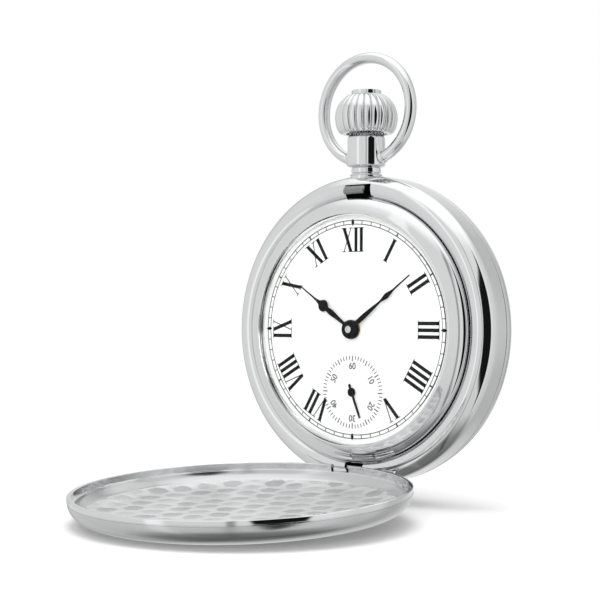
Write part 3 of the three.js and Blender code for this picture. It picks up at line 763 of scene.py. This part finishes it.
def make_dial():
    plate = turned("dial_plate", [
        (1.5, 0), (1.55, -0.004), (18.7, -0.004, 0.05), (18.9, 0.06, 0.05), (18.9, 0.4), (1.5, 0.4),
    ])
    dress(plate, DIAL, "case", ["dial"])


def band(inner, outer, start, end, count=12):
    """A band from one clock angle to another, as one outline."""
    spans = [start + (end - start) * k / count for k in range(count + 1)]
    edge = [(outer, a) for a in spans] + [(inner, a) for a in reversed(spans)]
    return [(r * math.sin(a), r * math.cos(a)) for r, a in edge]


def printed_circle(r, pieces=12):
    inner, outer = r - TRACK_LINE, r + TRACK_LINE
    return [band(inner, outer, TAU * k / pieces, TAU * (k + 1) / pieces) for k in range(pieces)]


def turn_loops(loops, degrees, middle=(0, 0)):
    """Loops turned clockwise about 0, 0 and then moved to a middle."""
    c, s = math.cos(math.radians(degrees)), math.sin(math.radians(degrees))
    return [[(middle[0] + x * c + z * s, middle[1] - x * s + z * c) for x, z in loop] for loop in loops]


def stroke(a, b, width):
    """A straight stroke with its ends cut level."""
    half = width / 2
    return [(a[0] - half, a[1]), (a[0] + half, a[1]), (b[0] + half, b[1]), (b[0] - half, b[1])]


def tick(r0, r1, width):
    return stroke((0, r0), (0, r1), width)


def diamond(r):
    return [(0, r - 0.62), (0.3, r), (0, r + 0.62), (-0.3, r)]


def serif(x, z, width):
    return stroke((x, z - SERIF / 2), (x, z + SERIF / 2), width)


def letter(kind, x):
    low, high = NUMERAL_LOW, NUMERAL_HIGH
    if kind == "I":
        return [stroke((x, low), (x, high), THICK), serif(x, low, 1.0), serif(x, high, 1.0)]
    if kind == "V":
        left, right = x - 0.72, x + 0.7
        return [
            stroke((left, high), (x + 0.04, low), THICK), stroke((right, high), (x + 0.12, low), THIN),
            serif(left, high, 1.05), serif(right, high, 0.75),
        ]
    left, right = x - 0.68, x + 0.68
    return [
        stroke((left, high), (right, low), THICK + 0.04), stroke((right, high), (left, low), THIN),
        serif(left, high, 1.0), serif(right, low, 1.0), serif(right, high, 0.75), serif(left, low, 0.75),
    ]


def numeral(text):
    x, loops = -sum(LETTER_WIDTHS[c] for c in text) / 2, []
    for c in text:
        loops += letter(c, x + LETTER_WIDTHS[c] / 2)
        x += LETTER_WIDTHS[c]
    return loops


def minute_mark(minute):
    if minute % 15 == 0:
        return diamond(sum(TRACK) / 2)
    return tick(*TRACK, 0.24 if minute % 5 == 0 else 0.12)


def second_mark(second):
    return tick(4.95, 5.85, 0.17) if second % 5 == 0 else tick(5.2, 5.85, 0.14)


def make_print():
    loops = printed_circle(TRACK[0]) + printed_circle(TRACK[1])
    for minute in range(60):
        loops += turn_loops([minute_mark(minute)], minute * 6)
    for hour, text in NUMERALS.items():
        loops += turn_loops(numeral(text), hour * 30)
    dress(slab("dial_print", loops, PRINT_FRONT, 0.0), INK, "case")


def make_seconds_print():
    loops = []
    for second in range(60):
        loops += turn_loops([second_mark(second)], second * 6, SECONDS)
    dress(slab("small_seconds_print", loops, PRINT_FRONT, 0.0), GREY_INK, "case")
    for second in (60, 10, 20, 30, 40, 50):
        make_label(str(second), math.radians(second * 6))


def make_label(text, angle):
    """A number of the small seconds, drawn with Blender's own font and turned to stand outwards."""
    font = bpy.data.curves.new("label_" + text, "FONT")
    font.body, font.size, font.align_x, font.align_y = text, LABEL_SIZE * MM, "CENTER", "CENTER"
    font.bevel_depth, font.bevel_resolution = LABEL_SPREAD * MM, 1
    maker = placed("label_" + text, font)
    bpy.context.view_layer.update()
    mesh = bpy.data.meshes.new_from_object(maker.evaluated_get(bpy.context.evaluated_depsgraph_get()))
    bpy.data.objects.remove(maker)
    x, z = SECONDS[0] + LABEL_R * math.sin(angle), SECONDS[1] + LABEL_R * math.cos(angle)
    upright = Matrix.Rotation(math.pi / 2, 4, "X") @ Matrix.Diagonal((LABEL_SQUEEZE, 1, 1, 1))
    mesh.transform(Matrix.Translation(at(x, PRINT_FRONT, z)) @ Matrix.Rotation(angle, 4, "Y") @ upright)
    assign(placed("small_seconds_" + text, mesh), GREY_INK, "case")


# ---------------------------------------------------------------- hands
HOUR_AT, MINUTE_AT, SECOND_AT = 304.6, 53.2, 158.4  # degrees clockwise from 12


def mirrored(half):
    return half + [(-x, z) for x, z in reversed(half)]


def hand(name, loops, degrees, front, back, body, nodes, middle=(0, 0)):
    made = slab(name, turn_loops(loops, degrees, middle), front, back)
    soften(made, 0.025, 2)
    dress(made, HAND_BLACK, body, nodes, sharp=50)


def hub(name, r, hole, front, back, body, middle=(0, 0)):
    made = turned(name, [(hole, front), (r, front, 0.05), (r, back, 0.02), (hole, back)], 64, middle)
    dress(made, HAND_BLACK, body)


def make_hands():
    hand("hour_hand_blade", [
        mirrored([(0.36, 1.0), (0.26, 1.8), (0.36, 3.4), (0.5, 4.8), (0.4, 5.6), (0.3, 6.0)]),
        circle(0, 6.7, 0.98, 40), mirrored([(0.4, 7.45), (0.2, 8.3), (0.13, 9.2), (0.09, 12.6)]),
    ], HOUR_AT, -0.6, -0.48, "hour", ["hour_hand"])
    hub("hour_hand_hub", 1.55, 1.2, -0.62, -0.44, "hour")
    hand("minute_hand_blade", [
        mirrored([(0.34, 0.7), (0.4, 2.0), (0.42, 3.6), (0.3, 5.6), (0.14, 7.6)]),
        mirrored([(0.13, 7.4), (0.36, 8.4), (0.46, 8.95), (0.34, 9.5), (0.15, 10.4), (0.1, 14.3)]),
    ], MINUTE_AT, -0.96, -0.84, "centre", ["minute_hand"])
    hub("minute_hand_hub", 1.45, AXIS, -1.04, -0.8, "centre")
    post = turned("minute_hand_post", [
        (AXIS, -1.2), (0.34, -1.18, 0.08), (0.44, -1.08, 0.05), (0.44, -0.95), (AXIS, -0.95),
    ], 48)
    dress(post, CHROME, "centre")
    hand("seconds_hand_blade", [
        mirrored([(0.18, -0.7), (0.26, -1.1), (0.14, -1.4)]),
        mirrored([(0.2, 0), (0.2, 1.8), (0.2, 2.9), (0.15, 4.4)]),
        mirrored([(0.16, -0.8), (0.16, 0.1)]),
    ], SECOND_AT, -0.3, -0.2, "fourth", ["seconds_hand"], SECONDS)
    hub("seconds_hand_hub", 0.72, AXIS, -0.36, -0.18, "fourth", SECONDS)


# ---------------------------------------------------------------- stage, light and camera
STAGE_R = 0.15  # metres, as the floor lies on the shared frame's ground


def make_stage():
    rim = [(x, y, 0) for x, y in circle(0, 0, STAGE_R, 96)]
    mesh = bpy.data.meshes.new("floor")
    mesh.from_pydata(rim, [], [tuple(range(len(rim)))])
    floor = placed("floor", mesh)
    pale, n = material("pale_floor")
    cloud = n.noise(n.place(), 3.0, 2.0)
    shade = n.ramp(cloud, [(0.3, (0.93, 0.93, 0.93)), (0.7, (0.95, 0.95, 0.95))])
    n.surface(**{"Base_Color": shade, "Roughness": 0.9, "Specular_IOR_Level": 0.1})
    mesh.materials.append(pale)
    floor.visible_glossy = False
    floor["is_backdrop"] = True


# Brightness of the studio's screens by turn about the vertical: 0 lies at 9 o'clock's side, 0.25 in
# front of the dial, 0.5 at 3 o'clock's side and 0.75 behind the watch.
SCREENS = [
    (0.0, 0.84), (0.08, 0.86), (0.144, 0.88), (0.18, 0.88), (0.19, 1.15), (0.216, 1.15), (0.226, 0.86),
    (0.334, 0.86), (0.34, 0.4), (0.35, 0.4), (0.357, 0.9), (0.53, 0.95), (0.583, 0.82), (0.644, 0.82),
    (0.68, 0.62), (0.722, 0.62), (0.75, 0.72), (0.806, 0.86), (0.87, 0.86), (0.9, 0.62), (0.93, 0.62),
    (0.95, 0.84),
]
# The share of it that is left at each height, from 0 straight down to 0.5 level and 1 straight up.
LOW_DOWN = [(0.0, 0.2), (0.06, 0.3), (0.14, 0.84), (0.3, 0.94), (0.5, 1.0)]
# The share of bright roof, from 0 level to 1 straight up.
ROOF = [(0.0, 0.0), (0.62, 0.0), (0.9, 1.0)]
# The dark gap's middle and half width as turns, and how much it narrows upwards and downwards.
GAP_TURN = 0.433
GAP_HALF, GAP_SOFT_HALF = 0.053, 0.061
GAP_TAPER = 0.1
LAMP_WIDTH = 300


def make_studio():
    """Pale screens with one dark gap, which the metal mirrors. The camera itself sees plain white."""
    world = bpy.data.worlds.new("studio")
    bpy.context.scene.world = world
    n = Nodes(world)
    way = n.add("ShaderNodeSeparateXYZ", Vector=n.add("ShaderNodeTexCoord").outputs["Generated"])
    x, y, z = (way.outputs[i] for i in range(3))
    turn = n.math("ADD", n.math("DIVIDE", n.math("ARCTAN2", y, x), TAU), 0.5)
    screens = n.ramp(turn, SCREENS)
    aside = n.math("ABSOLUTE", n.math("SUBTRACT", turn, GAP_TURN))
    leaf = n.math("ADD", aside, n.math("MULTIPLY", n.math("MULTIPLY", z, z), GAP_TAPER))
    gap = n.ramp(leaf, [(0.0, 0.01), (GAP_HALF, 0.01), (GAP_SOFT_HALF, 1.0)])
    screens = n.blend("MULTIPLY", 1.0, screens, gap)
    walls = n.blend("MULTIPLY", 1.0, screens, n.ramp(n.line(z, 0.5, 0.5), LOW_DOWN))
    shade = n.blend("MIX", n.ramp(z, ROOF, "EASE"), walls, (1.35, 1.35, 1.35, 1))
    seen = n.add("ShaderNodeLightPath").outputs["Is Camera Ray"]
    mirrored_sky = n.add("ShaderNodeBackground", Color=shade, Strength=1.0)
    plain_sky = n.add("ShaderNodeBackground", Color=(1, 1, 1, 1), Strength=1.0)
    mix = n.add("ShaderNodeMixShader", **{
        "0": seen, "1": mirrored_sky.outputs[0], "2": plain_sky.outputs[0],
    })
    output = n.tree.nodes.new("ShaderNodeOutputWorld")
    n.tree.links.new(mix.outputs[0], output.inputs["Surface"])


def aimed(spot, aim):
    return (at(*aim) - at(*spot)).to_track_quat("-Z", "Y")


def make_lamps():
    for name, spot, aim, power in [
        ("front", (300, -420, 150), (0, 0, 0), 0.75),
        ("overhead", (0, -60, 520), (0, -20, -28), 0.9),
    ]:
        data = bpy.data.lights.new(name, "AREA")
        data.shape, data.size, data.energy = "DISK", LAMP_WIDTH * MM, power
        lamp = placed(name, data)
        lamp.location = at(*spot)
        lamp.visible_glossy = False
        lamp.rotation_mode = "QUATERNION"
        lamp.rotation_quaternion = aimed(spot, aim)


CAMERA_SPOT = (125.66, -174.65, 2.46)
CAMERA_AIM = (-6.70, -5.24, 4.69)
CAMERA_ROLL = math.radians(0.214)
CAMERA_LENS, CAMERA_SENSOR = 80.26, 36


def make_camera():
    data = bpy.data.cameras.new("camera")
    data.lens, data.sensor_width, data.clip_start, data.clip_end = CAMERA_LENS, CAMERA_SENSOR, 0.01, 20
    camera = placed("camera", data)
    camera.location = at(*CAMERA_SPOT)
    camera.rotation_mode = "QUATERNION"
    roll = Matrix.Rotation(CAMERA_ROLL, 3, "Z").to_quaternion()
    camera.rotation_quaternion = aimed(CAMERA_SPOT, CAMERA_AIM) @ roll
    bpy.context.scene.camera = camera


make_camera()
make_case()
make_hinge()
make_springs()
make_back()
make_bezel()
make_crystal()
make_lid()
make_lid_knuckle()
make_spots()
make_pendant()
make_bow()
make_bow_ends()
make_crown()
make_dial()
make_print()
make_seconds_print()
make_hands()
make_stage()
make_studio()
make_lamps()
bpy.context.scene.view_settings.view_transform = "Standard"

boxes = {"cad": cad_box, "visual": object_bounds()}
{name: [list(corner) for corner in box] for name, box in boxes.items()}
